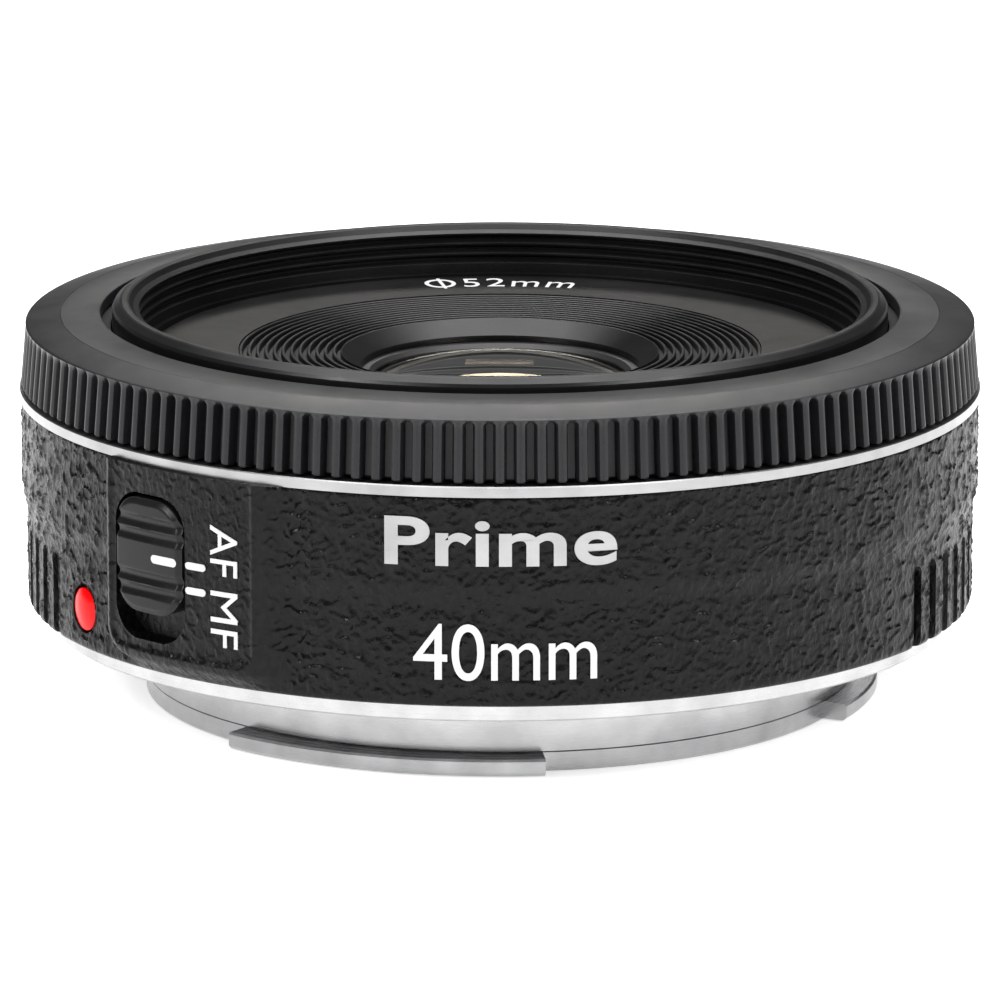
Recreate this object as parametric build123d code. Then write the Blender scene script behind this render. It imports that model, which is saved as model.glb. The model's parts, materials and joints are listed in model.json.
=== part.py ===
from build123d import *
import os
from math import acos, atan2, cos, degrees, hypot, pi, radians, sin, sqrt, tan

# A pancake autofocus prime lens, in millimetres. The origin is the centre of the mount flange's rear
# face, +Z runs along the optical axis towards the front. An azimuth is measured about +Z in degrees,
# from -Y (0) towards +X (90).

# ---- Mount ----
FLANGE_R = 32.3
FLANGE_T = 1.3
TUBE_R = 25.3
TUBE_BORE_R = 23.4
TUBE_DEPTH = 5.4
TUBE_GROOVE_Z = -3.98
LUG_R = 27.0
LUG_LOW_Z, LUG_HIGH_Z = -5.3, -4.1
LUG_SPANS = [(-44.3, 6.7), (64.5, 122.0), (184.0, 235.0)]
MOUNT_SCREW_R = 29.8
MOUNT_SCREW_AZIMUTHS = [30.0, 120.0, 210.0, 300.0]
LOCK_SLOT_AZIMUTH = -92.0

# ---- Rear cover and contacts ----
COVER_R_IN = 13.1
COVER_LOW_Z, COVER_STEP_Z, COVER_TOP_Z = -4.9, -4.4, 1.2
CONTACT_AZIMUTH = 180.0
CONTACT_R = 21.4
CONTACT_R_IN, CONTACT_R_OUT = 19.4, 23.2
CONTACT_LOW_Z, CONTACT_HIGH_Z = -5.35, COVER_LOW_Z
CONTACT_START, CONTACT_END = -33.0, 29.0
CONTACT_PADS = [(-27.0, 1.3), (-19.5, 1.3), (-12.0, 1.3), (-4.5, 1.3), (4.0, 2.3), (14.5, 1.3), (22.0, 1.3)]
CONTACT_PAD_LENGTH = 2.7
CONTACT_SCREW_AZIMUTHS = [138.0, 222.0]

# ---- Fixed barrel ----
BARREL_LOW_R = 33.75
BARREL_R = 34.1
BARREL_TOP_Z = 16.05
BARREL_FOOT_R = 33.2
BARREL_FOOT_ROUND_Z = 1.9
WAIST_LOW_Z, WAIST_HIGH_Z = 8.2, 9.9
WEB_TOP_Z = 2.1
GRIP_SLOT_PITCH = 4.14
GRIP_SLOT_COUNT = 16
GRIP_SLOT_STARTS = [(59.7, 1), (-67.5, -1)]
GRIP_SLOT_W = 1.0
GRIP_SLOT_TOP_Z = 7.1
GRIP_SLOT_FLOOR_R = 33.2
DOT_AZIMUTH, DOT_Z, DOT_R = -59.3, 4.19, 1.5
TRIM_TOP_Z = 16.8

# ---- Focus-mode switch ----
PAD_AZIMUTH = -40.1
PAD_R = 34.45
PAD_W = 14.0
PAD_LOW_Z = 2.4
PAD_CORNER_R = 3.0
PAD_RAMP_AZIMUTH = -23.5
SWITCH_AZIMUTH = -44.1
WELL_W, WELL_LOW_Z, WELL_HIGH_Z, WELL_CORNER_R = 6.7, 3.9, 14.05, 2.3
WELL_FLOOR_R = 33.3
KNOB_W, KNOB_LOW_Z, KNOB_HIGH_Z, KNOB_CORNER_R = 6.5, 5.8, 13.85, 2.1
KNOB_R = 34.95
KNOB_GROOVE_ZS = [7.4, 8.35, 11.3, 12.25]
SWITCH_TRAVEL = 1.8

# ---- Focus ring ----
RING_LOW_Z = 17.0
RING_R = 34.0
RING_BORE_R = 31.55
RIB_COUNT = 150
RIB_TOP_R, RIB_TOP_Z = 33.62, 21.3
RIB_SLOT_W = 0.72
RIB_SLOT_FLOOR_R = 33.1
RING_CREASE_R, RING_CREASE_Z = 31.15, 21.85
RING_INNER_R, RING_TOP_Z = 28.3, 22.0
NECK_R = 31.5

# ---- Focusing cam ----
LENS_TRAVEL = 7.2
DRIVE_TURN = 90.0
DRIVE_R_IN, DRIVE_R_OUT = 27.55, 28.70
DRIVE_LOW_Z, DRIVE_HIGH_Z = 2.4, 16.9
SLEEVE_R_IN, SLEEVE_R_OUT = 28.75, 29.55
FOLLOWER_R = 0.9
FOLLOWER_Z = 7.6
FOLLOWER_AZIMUTHS = [30.0, 150.0, 270.0]
CAM_SLOT_W = 1.9

# ---- Focus gears ----
MODULE = 0.3
RING_TEETH = 178
IDLER_TEETH = 24
PINION_TEETH = 12
GEAR_LOW_Z, GEAR_HIGH_Z = 2.45, 3.65
TRAIN_AZIMUTH = 90.0
IDLER_CENTRE_R = MODULE * (RING_TEETH - IDLER_TEETH) / 2
MOTOR_BEARING = 135.0
MOTOR_DISTANCE = MODULE * (IDLER_TEETH + PINION_TEETH) / 2
MOTOR_R = 3.2

# ---- Boards and bracket ----
BOARD_LOW_Z, BOARD_HIGH_Z = FLANGE_T, 1.9
BOARD_R_IN, BOARD_R_OUT = 14.5, 26.2
BOARD_START, BOARD_END = 132.0, 400.0
BOARD_SCREW_R = 24.9
BOARD_SCREW_AZIMUTHS = [140.0, 220.0, 300.0, 375.0]
BRACKET_START, BRACKET_END = TRAIN_AZIMUTH - 28, TRAIN_AZIMUTH + 38
BRACKET_SCREW_AZIMUTHS = [TRAIN_AZIMUTH - 25, TRAIN_AZIMUTH + 34]
CHIPS = [  # azimuth, radius, width, depth, height
    (165.0, 19.0, 4.6, 4.6, 0.8), (195.0, 20.0, 3.2, 4.0, 0.8), (245.0, 19.5, 3.6, 3.6, 0.7),
    (325.0, 20.0, 3.4, 5.0, 0.8),
]
FLEX_AZIMUTH = 40.0
FLEX_W, FLEX_T, FLEX_R = 5.0, 0.1, 31.3

# ---- Front barrel ----
FRONT_R, FRONT_BORE_R = 27.5, 25.9
FRONT_LOW_Z = 6.0
RIM_Z = 22.8
THREAD_R = 25.6
THREAD_DEPTH = 0.4
THREAD_PITCH = 0.75
THREAD_TURNS = 3
THREAD_LOW_Z = 19.9
THREAD_END_Z = 19.25
SEAT_R, SEAT_Z = 25.2, 18.3
NAME_RING_R_OUT, NAME_RING_R_IN = 24.5, 18.57
NAME_RING_Z = 19.2
WEB_LOW_Z, WEB_HIGH_Z = 9.7, 10.9
BAFFLE_RIDGES = 12
BAFFLE_CONE_R, BAFFLE_MOUTH_R = 11.3, 9.9

# ---- Glass: edge radius, front vertex z, front curve, back vertex z, back curve ----
LENSES = [
    (9.8, 18.4, 28, 16.0, 60),
    (8.4, 15.0, 16, 12.4, 200),
    (8.4, 12.4, 200, 11.55, 26),
    (6.2, 6.4, -14, 5.5, 500),
    (8.6, 5.5, 500, 3.0, -18),
    (9.4, 2.7, 60, 0.3, -70),
]

# ---- Iris ----
BLADE_COUNT = 7
BLADE_TURN = 26.0
IRIS_TURN = 20.0
BLADE_PIVOT_R = 13.2
BLADE_TAIL = 3.2
BLADE_R_IN, BLADE_R_OUT = 6.95, 11.9
BLADE_SPAN = 100.0
BLADE_T = 0.06
BLADE_STEP = 0.1
BLADE_LOW_Z = 8.34
IRIS_RING_R = 16.0
IRIS_RING_LOW_Z, IRIS_RING_HIGH_Z = 9.06, 9.34
IRIS_PLATE_R = 18.6
IRIS_TEETH = 116
IRIS_DRIVE_AZIMUTH = -90.0
IRIS_PINION_R = MODULE * (IRIS_TEETH + PINION_TEETH) / 2
PIN_CLEARANCE = 0.05
PIVOT_PIN_R, DRIVE_PIN_R = 0.4, 0.35
IRIS_SCREW_R = 17.5
IRIS_SCREW_AZIMUTHS = [20.0, 150.0, 215.0]


# ---- Shape helpers ----
def polar(azimuth, radius=0.0, z=0.0):
    """A place at this azimuth, with local -Y pointing outwards and +Z up."""
    return Rot(0, 0, azimuth) * Pos(0, -radius, z)


def revolved(outline, start=0.0, end=360.0):
    """Turn an (r, z) outline about Z, all the way round or between two azimuths."""
    face = make_face(Polyline(*[(0, -r, z) for r, z in outline], close=True))
    return Rot(0, 0, start) * revolve(face, Axis.Z, revolution_arc=end - start)


def tube(r_in, r_out, z_low, z_high, start=0.0, end=360.0):
    return revolved([(r_in, z_low), (r_out, z_low), (r_out, z_high), (r_in, z_high)], start, end)


def rod(radius, z_low, z_high):
    return Pos(0, 0, (z_low + z_high) / 2) * Cylinder(radius, z_high - z_low)


def radial_rod(radius, r_in, r_out):
    """A cylinder along the azimuth 0 radius."""
    return Pos(0, -(r_in + r_out) / 2, 0) * Rot(90, 0, 0) * Cylinder(radius, r_out - r_in)


def radial_prism(sketch, r_in, r_out):
    """A sketch drawn as seen from outside, x right and y up, carried along the azimuth 0 radius."""
    return extrude(Plane.XZ.offset(r_in) * sketch, r_out - r_in)


def block(width, r_in, r_out, z_low, z_high):
    """A box at azimuth 0, between two radii."""
    return Pos(0, -(r_in + r_out) / 2, (z_low + z_high) / 2) * Box(width, r_out - r_in, z_high - z_low)


def slot_between(start, end, width):
    """A round-ended slot sketch from one (x, y) point to another."""
    length = hypot(end[0] - start[0], end[1] - start[1])
    turn = degrees(atan2(end[1] - start[1], end[0] - start[0]))
    middle = ((start[0] + end[0]) / 2, (start[1] + end[1]) / 2)
    return Pos(*middle) * Rot(0, 0, turn) * SlotCenterToCenter(length, width)


def solids_of(pieces):
    """Separate solids kept together in one node."""
    return Compound(children=[solid for piece in pieces for solid in piece.solids()])


def gear_outline(teeth, addendum, dedendum, thinner):
    """The face of a spur gear, one tooth pointing along -Y, its flanks involutes at 20 degrees."""
    pitch_r = MODULE * teeth / 2
    pressure = radians(20)
    base_r = pitch_r * cos(pressure)
    tip_r = pitch_r + addendum
    root_r = pitch_r - dedendum
    half_at_pitch = (pi * MODULE / 2 - thinner) / (2 * pitch_r)

    def half_angle(radius):
        if radius <= base_r:
            return half_at_pitch + tan(pressure) - pressure
        at_radius = acos(base_r / radius)
        return half_at_pitch + (tan(pressure) - pressure) - (tan(at_radius) - at_radius)

    flank_start = max(root_r, base_r)
    steps = 3
    radii = [flank_start + (tip_r - flank_start) * i / steps for i in range(steps + 1)]
    flank = [(radius, half_angle(radius)) for radius in radii]
    if root_r < base_r:
        flank.insert(0, (root_r, half_at_pitch + tan(pressure) - pressure))
    points = []
    for tooth in range(teeth):
        middle = -pi / 2 + 2 * pi * tooth / teeth
        rising = [(radius, middle - half) for radius, half in flank]
        falling = [(radius, middle + half) for radius, half in reversed(flank)]
        points += [(radius * cos(angle), radius * sin(angle)) for radius, angle in rising + falling]
    return make_face(Polyline(*points, close=True))


def spur_gear(teeth, z_low, z_high, bore_r):
    """A small gear with one tooth pointing along -Y and a plain bore."""
    face = gear_outline(teeth, MODULE, 1.2 * MODULE, 0.06) - Circle(bore_r)
    return extrude(Pos(0, 0, z_low) * face, z_high - z_low)


def lens_element(semi, front_z, front_curve, back_z, back_curve):
    """Glass between two spheres. A positive curve falls away rearwards from its vertex."""

    def surface_z(vertex_z, curve, r):
        depth = abs(curve) - sqrt(curve * curve - r * r)
        return vertex_z - depth if curve > 0 else vertex_z + depth

    def arc(vertex_z, curve):
        rim_z = surface_z(vertex_z, curve, semi)
        middle_z = surface_z(vertex_z, curve, semi / 2)
        return ThreePointArc((0, 0, vertex_z), (0, -semi / 2, middle_z), (0, -semi, rim_z)), rim_z

    front, front_rim_z = arc(front_z, front_curve)
    back, back_rim_z = arc(back_z, back_curve)
    edge = Line((0, -semi, front_rim_z), (0, -semi, back_rim_z))
    axis = Line((0, 0, back_z), (0, 0, front_z))
    return revolve(make_face([front, edge, back, axis]), Axis.Z)


# ---- Mount, fixed to the barrel ----
def mount_ring():
    body = revolved([
        (TUBE_BORE_R, -TUBE_DEPTH + 0.2), (TUBE_BORE_R + 0.2, -TUBE_DEPTH), (TUBE_R - 0.2, -TUBE_DEPTH),
        (TUBE_R, -TUBE_DEPTH + 0.2), (TUBE_R, TUBE_GROOVE_Z - 0.05), (TUBE_R - 0.1, TUBE_GROOVE_Z),
        (TUBE_R, TUBE_GROOVE_Z + 0.05), (TUBE_R, 0), (FLANGE_R - 0.12, 0), (FLANGE_R, 0.12),
        (FLANGE_R, FLANGE_T), (TUBE_BORE_R, FLANGE_T),
    ])
    lug_outline = [
        (TUBE_R - 0.3, LUG_LOW_Z), (LUG_R - 0.25, LUG_LOW_Z), (LUG_R, LUG_LOW_Z + 0.25),
        (LUG_R, LUG_HIGH_Z - 0.15), (LUG_R - 0.15, LUG_HIGH_Z), (TUBE_R - 0.3, LUG_HIGH_Z + 0.1),
    ]
    for start, end in LUG_SPANS:
        body += revolved(lug_outline, start, end)
    for azimuth in MOUNT_SCREW_AZIMUTHS:
        body -= polar(azimuth, MOUNT_SCREW_R) * rod(0.75, -0.1, FLANGE_T + 0.1)
        body -= polar(azimuth, MOUNT_SCREW_R, 0.35) * Cone(1.4, 0.75, 0.7)
    body -= polar(LOCK_SLOT_AZIMUTH) * block(1.8, 27.9, 29.6, -0.1, 0.9)
    return body


def mount_screws():
    screws = []
    for azimuth in MOUNT_SCREW_AZIMUTHS:
        screw = rod(0.7, 0.6, 4.6) + Pos(0, 0, 0.36) * Cone(1.36, 0.7, 0.68)
        screw -= Pos(0, 0, 0.25) * (Box(1.5, 0.3, 0.5) + Box(0.3, 1.5, 0.5))
        screws.append(polar(azimuth, MOUNT_SCREW_R) * screw)
    return solids_of(screws)


def rear_cover():
    """Flat rear baffle closing the tube, with a collar round the rear cell."""
    outer_r = TUBE_BORE_R - 0.05
    wall, bevel = 0.6, 0.2
    body = revolved([
        (COVER_R_IN, COVER_LOW_Z + bevel), (COVER_R_IN + bevel, COVER_LOW_Z), (outer_r - bevel, COVER_LOW_Z),
        (outer_r, COVER_LOW_Z + bevel), (outer_r, COVER_STEP_Z), (COVER_R_IN + wall, COVER_STEP_Z),
        (COVER_R_IN + wall, COVER_TOP_Z), (COVER_R_IN, COVER_TOP_Z),
    ])
    for azimuth in CONTACT_SCREW_AZIMUTHS:
        body -= polar(azimuth, CONTACT_R) * rod(0.5, COVER_LOW_Z - 0.1, COVER_STEP_Z + 0.1)
    return body


def contact_pad(offset, width, grow, z_low, z_high):
    """A round-ended radial slot shape, at this azimuth from the middle of the contact block."""
    outline = Pos(0, -CONTACT_R) * Rot(0, 0, 90) * SlotOverall(CONTACT_PAD_LENGTH + grow, width + grow)
    return Rot(0, 0, CONTACT_AZIMUTH + offset) * extrude(Pos(0, 0, z_low) * outline, z_high - z_low)


def contact_block():
    span = (CONTACT_AZIMUTH + CONTACT_START, CONTACT_AZIMUTH + CONTACT_END)
    body = tube(CONTACT_R_IN, CONTACT_R_OUT, CONTACT_LOW_Z, CONTACT_HIGH_Z, *span)
    for offset, width in CONTACT_PADS:
        body -= contact_pad(offset, width, 0.0, CONTACT_LOW_Z - 0.1, CONTACT_HIGH_Z + 0.1)
    return body


def contact_pads():
    low_z = CONTACT_LOW_Z + 0.08
    pads = [contact_pad(offset, width, -0.02, low_z, CONTACT_HIGH_Z) for offset, width in CONTACT_PADS]
    return solids_of(pads)


def contact_block_screws():
    screws = []
    for azimuth in CONTACT_SCREW_AZIMUTHS:
        screw = rod(0.45, COVER_LOW_Z, COVER_LOW_Z + 1.3) + rod(0.9, COVER_LOW_Z - 0.35, COVER_LOW_Z)
        screw -= Pos(0, 0, COVER_LOW_Z - 0.3) * (Box(1.1, 0.22, 0.3) + Box(0.22, 1.1, 0.3))
        screws.append(polar(azimuth, CONTACT_R) * screw)
    return solids_of(screws)


# ---- Fixed barrel and what it carries ----
def barrel_shell():
    """The outer shell: rounded foot, straight lower wall, soft waist, wider upper wall."""
    waist_steps = 8
    waist = []
    for i in range(waist_steps + 1):
        share = i / waist_steps
        swell = (1 - cos(pi * share)) / 2
        waist.append((
            BARREL_LOW_R + (BARREL_R - BARREL_LOW_R) * swell,
            WAIST_LOW_Z + (WAIST_HIGH_Z - WAIST_LOW_Z) * share,
        ))
    foot_steps = 4
    foot = []
    for i in range(foot_steps + 1):
        turn = radians(90 * i / foot_steps)
        foot.append((
            BARREL_FOOT_R + (BARREL_LOW_R - BARREL_FOOT_R) * sin(turn),
            FLANGE_T + (BARREL_FOOT_ROUND_Z - FLANGE_T) * (1 - cos(turn)),
        ))
    return revolved(
        [(28.4, FLANGE_T)] + foot + waist
        + [(BARREL_R, BARREL_TOP_Z), (32.7, BARREL_TOP_Z), (32.7, 15.2), (33.15, 15.2), (33.15, 8.6),
           (32.2, 7.9), (32.2, WEB_TOP_Z), (28.4, WEB_TOP_Z)]
    )


def switch_pad():
    """The raised pad that frames the switch, its right flank running out into the barrel."""
    height = BARREL_TOP_Z - PAD_LOW_Z
    overrun = 4.0
    outline = RectangleRounded(PAD_W, height + overrun, PAD_CORNER_R)
    outline = Pos(0, PAD_LOW_Z + (height + overrun) / 2) * outline
    pad = polar(PAD_AZIMUTH) * extrude(Plane.XZ.offset(31.8) * outline, 3.5, taper=4)
    pad_edge = PAD_AZIMUTH + degrees(PAD_W / 2 / PAD_R)
    ramp_outline = [(31.8, pad_edge - 3), (PAD_R - 0.08, pad_edge - 3), (PAD_R - 0.08, pad_edge),
                    (BARREL_LOW_R - 0.1, PAD_RAMP_AZIMUTH), (31.8, PAD_RAMP_AZIMUTH)]
    corners = [(r * sin(radians(azimuth)), -r * cos(radians(azimuth))) for r, azimuth in ramp_outline]
    ramp = extrude(Pos(0, 0, PAD_LOW_Z + 1.0) * make_face(Polyline(*corners, close=True)), height)
    comb_clear_z = 14.1
    span = (PAD_AZIMUTH - 20, PAD_AZIMUTH + 25)
    envelope = tube(32.0, PAD_R, PAD_LOW_Z, comb_clear_z, *span)
    envelope += tube(32.7, PAD_R, comb_clear_z, BARREL_TOP_Z, *span)
    return (pad + ramp) & envelope


def fixed_barrel():
    body = barrel_shell() + switch_pad()
    well = Pos(0, (WELL_LOW_Z + WELL_HIGH_Z) / 2) * RectangleRounded(
        WELL_W, WELL_HIGH_Z - WELL_LOW_Z, WELL_CORNER_R)
    window = Pos(0, 8.9) * RectangleRounded(2.2, 4.2, 0.3)
    body -= polar(SWITCH_AZIMUTH) * radial_prism(well, WELL_FLOOR_R, 36)
    body -= polar(SWITCH_AZIMUTH) * radial_prism(window, 31, 36)
    body -= polar(DOT_AZIMUTH, 0, DOT_Z) * radial_rod(DOT_R + 0.13, 33.1, 35)
    arch_z = GRIP_SLOT_TOP_Z - GRIP_SLOT_W / 2
    slot = Pos(0, arch_z) * Circle(GRIP_SLOT_W / 2) + Pos(0, arch_z / 2) * Rectangle(GRIP_SLOT_W, arch_z)
    cutter = radial_prism(slot, GRIP_SLOT_FLOOR_R, 35)
    body -= [
        polar(start + side * GRIP_SLOT_PITCH * i) * cutter
        for start, side in GRIP_SLOT_STARTS for i in range(GRIP_SLOT_COUNT)
    ]
    body -= [polar(azimuth, MOUNT_SCREW_R) * rod(0.75, 1, 3) for azimuth in MOUNT_SCREW_AZIMUTHS]
    return body


def trim_ring():
    bevel = 0.08
    return revolved([
        (32.8, BARREL_TOP_Z), (BARREL_R, BARREL_TOP_Z), (BARREL_R, TRIM_TOP_Z - bevel),
        (BARREL_R - bevel, TRIM_TOP_Z), (32.8, TRIM_TOP_Z),
    ])


def index_dot():
    dome = Pos(0, -29.85, 0) * Sphere(4.0)
    stud = radial_rod(DOT_R, 33.1, 34.0)
    return polar(DOT_AZIMUTH, 0, DOT_Z) * (stud & dome)


def guide_sleeve():
    """Inner barrel: base ring, three straight guide slots, and the neck the focus ring turns on."""
    body = revolved([
        (SLEEVE_R_IN, WEB_TOP_Z), (31.0, WEB_TOP_Z), (31.0, 5.0), (SLEEVE_R_OUT, 5.0), (SLEEVE_R_OUT, 16.0),
        (NECK_R, 16.0), (NECK_R, 19.45), (31.05, 19.45), (31.05, 20.05), (NECK_R, 20.05), (NECK_R, 20.6),
        (30.6, 20.6), (30.6, RING_LOW_Z), (SLEEVE_R_IN, RING_LOW_Z),
    ])
    guide = slot_between((0, FOLLOWER_Z), (0, FOLLOWER_Z + LENS_TRAVEL), CAM_SLOT_W)
    body -= [polar(azimuth) * radial_prism(guide, 28, 30) for azimuth in FOLLOWER_AZIMUTHS]
    body -= [polar(azimuth, MOUNT_SCREW_R) * rod(0.7, 2, 4.6) for azimuth in MOUNT_SCREW_AZIMUTHS]
    body -= polar(FLEX_AZIMUTH) * block(FLEX_W + 0.4, 28, 32, WEB_TOP_Z, WEB_TOP_Z + 0.5)
    return body


def drive_ring_retainer():
    return tube(27.8, 30.3, RING_LOW_Z, 17.5)


def focus_ring_snap_ring():
    return tube(31.1, 32.1, 19.55, 19.95, 4, 356)


def light_seal():
    return tube(27.62, 31.4, 20.62, 20.95)


def photo_interrupters():
    """Two fork-shaped light barriers that the focus ring's comb passes through."""
    fork = block(3.0, 29.6, 33.0, 12.4, 13.6) + block(3.0, 29.6, 31.6, 13.6, 15.1)
    fork += block(3.0, 32.55, 33.0, 13.6, 15.1)
    return solids_of([polar(FLEX_AZIMUTH + offset) * fork for offset in (-4, 4)])


def flex_cable():
    """A thin ribbon from the main board out under the drive ring and up to the light barriers."""
    low_z = WEB_TOP_Z + 0.04
    flat = block(FLEX_W, 24.0, FLEX_R + FLEX_T / 2, low_z, low_z + FLEX_T)
    upright = block(FLEX_W, FLEX_R - FLEX_T / 2, FLEX_R + FLEX_T / 2, low_z, 12.4)
    return polar(FLEX_AZIMUTH) * (flat + upright)


def switch_board():
    """The printed contact strip that the switch's brush wipes."""
    board = radial_prism(Pos(0, 9.2) * Rectangle(5.0, 6.4), 31.25, 31.6)
    return polar(SWITCH_AZIMUTH) * board


def switch_detent_spring():
    """A bowed leaf spring beside the knob's stem, clipped to the contact strip's foot."""
    width = 0.15
    leaf = block(width, 31.65, 31.95, 6.0, 12.4)
    foot = block(1.4, 31.65, 31.95, 6.0, 6.2)
    return polar(SWITCH_AZIMUTH) * Pos(1.6, 0, 0) * (leaf + foot)


# ---- Boards and focus motor ----
def main_board():
    body = tube(BOARD_R_IN, BOARD_R_OUT, BOARD_LOW_Z, BOARD_HIGH_Z, BOARD_START, BOARD_END)
    return body - [polar(azimuth, BOARD_SCREW_R) * rod(0.5, 1, 2.2) for azimuth in BOARD_SCREW_AZIMUTHS]


def cross_screws(azimuths):
    """Small pan-head screws that hold a board or plate to the mount's front face."""
    screw = rod(0.45, BOARD_LOW_Z + 0.02, BOARD_HIGH_Z) + rod(0.85, BOARD_HIGH_Z, BOARD_HIGH_Z + 0.3)
    screw -= Pos(0, 0, BOARD_HIGH_Z + 0.3) * (Box(1.0, 0.2, 0.3) + Box(0.2, 1.0, 0.3))
    return solids_of([polar(azimuth, BOARD_SCREW_R) * screw for azimuth in azimuths])


def board_chips():
    """Controller, motor drivers and small passives on the board's front face."""
    passives = [(azimuth, 23.0, 0.9, 0.5, 0.4) for azimuth in range(150, 390, 12)]
    pieces = []
    for azimuth, r, width, depth, height in CHIPS + passives:
        middle_z = BOARD_HIGH_Z + height / 2
        pieces.append(polar(azimuth, r, middle_z) * Box(width, depth, height))
    return solids_of(pieces)


def board_connector():
    shell = block(5.6, 21.6, 23.6, BOARD_HIGH_Z, 2.9) - block(5.1, 22.4, 23.7, BOARD_HIGH_Z + 0.2, 2.6)
    return polar(FLEX_AZIMUTH - 6) * shell


def board_screws():
    return cross_screws(BOARD_SCREW_AZIMUTHS)


def train_place(bearing, distance):
    """A place at a distance from the idler's centre, the bearing counted from the outward radius."""
    return polar(TRAIN_AZIMUTH, IDLER_CENTRE_R) * Rot(0, 0, bearing) * Pos(0, -distance, 0)


def motor_bracket():
    """Plate on the mount's front face that carries the motor and the idler's shaft."""
    body = tube(BOARD_R_IN + 0.5, BOARD_R_OUT, BOARD_LOW_Z, BOARD_HIGH_Z, BRACKET_START, BRACKET_END)
    body -= train_place(0, 0) * rod(0.6, 1, 2)
    body -= train_place(MOTOR_BEARING, MOTOR_DISTANCE) * rod(1.0, 1, 2)
    return body - [polar(azimuth, BOARD_SCREW_R) * rod(0.5, 1, 2.2) for azimuth in BRACKET_SCREW_AZIMUTHS]


def bracket_screws():
    return cross_screws(BRACKET_SCREW_AZIMUTHS)


def focus_motor():
    """Stepping motor can with its nose in the bracket and a fixed centre pin for the pinion."""
    can = rod(MOTOR_R, -4.2, BOARD_LOW_Z) + rod(0.95, BOARD_LOW_Z, 2.2) + rod(0.4, 2.2, 4.0)
    return train_place(MOTOR_BEARING, MOTOR_DISTANCE) * can


def idler_shaft():
    shaft = rod(0.58, 1.32, 3.9) + rod(1.0, 3.75, 4.0) + rod(0.9, BOARD_HIGH_Z, 2.35)
    return train_place(0, 0) * shaft


# ---- Turning pieces of the focus drive ----
def drive_ring():
    """Cam ring: internal gear at its foot, three helical slots that lift the followers as it turns."""
    rise_per_degree = LENS_TRAVEL / DRIVE_TURN
    middle_r = (DRIVE_R_IN + DRIVE_R_OUT) / 2
    slope = degrees(atan2(rise_per_degree, radians(1) * middle_r))
    body = tube(DRIVE_R_IN, DRIVE_R_OUT, DRIVE_LOW_Z, DRIVE_HIGH_Z)
    body += tube(25.5, DRIVE_R_IN + 0.2, DRIVE_LOW_Z, GEAR_HIGH_Z + 0.2)
    space = gear_outline(RING_TEETH, 1.3 * MODULE, 0.8 * MODULE, -0.06)
    body -= Rot(0, 0, TRAIN_AZIMUTH) * extrude(Pos(0, 0, DRIVE_LOW_Z - 0.2) * space, 2.0)
    step = 5.0
    tile_length = radians(step) * middle_r / cos(radians(slope)) + 0.25
    tile = Rot(0, slope, 0) * Box(tile_length, 4, CAM_SLOT_W)
    cutters = []
    for follower in FOLLOWER_AZIMUTHS:
        for i in range(int(DRIVE_TURN / step)):
            turned = step * (i + 0.5)
            cutters.append(polar(follower - turned, middle_r, FOLLOWER_Z + rise_per_degree * turned) * tile)
        for turned in (0.0, DRIVE_TURN):
            end = radial_rod(CAM_SLOT_W / 2, 26, 30)
            cutters.append(polar(follower - turned, 0, FOLLOWER_Z + rise_per_degree * turned) * end)
    return body - cutters


def idler_gear():
    return train_place(0, 0) * spur_gear(IDLER_TEETH, GEAR_LOW_Z, GEAR_HIGH_Z, 0.63)


def motor_pinion():
    """The pinion turns half a tooth from the idler's line, so that a space meets the idler's tooth."""
    half_tooth = 180 / PINION_TEETH
    back_to_idler = 180 + half_tooth
    gear = spur_gear(PINION_TEETH, GEAR_LOW_Z, GEAR_HIGH_Z, 0.45)
    return train_place(MOTOR_BEARING, MOTOR_DISTANCE) * Rot(0, 0, back_to_idler) * gear


# ---- Focus ring ----
def focus_ring():
    body = revolved([
        (RING_BORE_R, RING_LOW_Z), (RING_R - 0.1, RING_LOW_Z), (RING_R, RING_LOW_Z + 0.1),
        (RIB_TOP_R + 0.02, RIB_TOP_Z - 0.08), (RIB_TOP_R - 0.1, RIB_TOP_Z + 0.05),
        (RING_CREASE_R, RING_CREASE_Z), (RING_INNER_R + 0.15, RING_TOP_Z), (RING_INNER_R, RING_TOP_Z - 0.15),
        (RING_INNER_R, 21.2), (RING_BORE_R, 21.2), (RING_BORE_R, 20.2), (32.25, 20.2), (32.25, 19.3),
        (RING_BORE_R, 19.3),
    ])
    arch_z = RIB_TOP_Z - 0.2 - RIB_SLOT_W / 2
    slot = Pos(0, arch_z) * Circle(RIB_SLOT_W / 2)
    slot += Pos(0, (arch_z + RING_LOW_Z - 1) / 2) * Rectangle(RIB_SLOT_W, arch_z - RING_LOW_Z + 1)
    cutter = radial_prism(slot, RIB_SLOT_FLOOR_R, 35)
    return body - [polar(360 * (i + 0.5) / RIB_COUNT) * cutter for i in range(RIB_COUNT)]


def encoder_ring():
    """Comb under the focus ring whose teeth break the light barriers' beams."""
    gaps = 60
    body = tube(31.95, 32.25, 14.4, RING_LOW_Z)
    return body - [polar(360 * i / gaps) * block(1.5, 31, 33, 14, 16) for i in range(gaps)]


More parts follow.
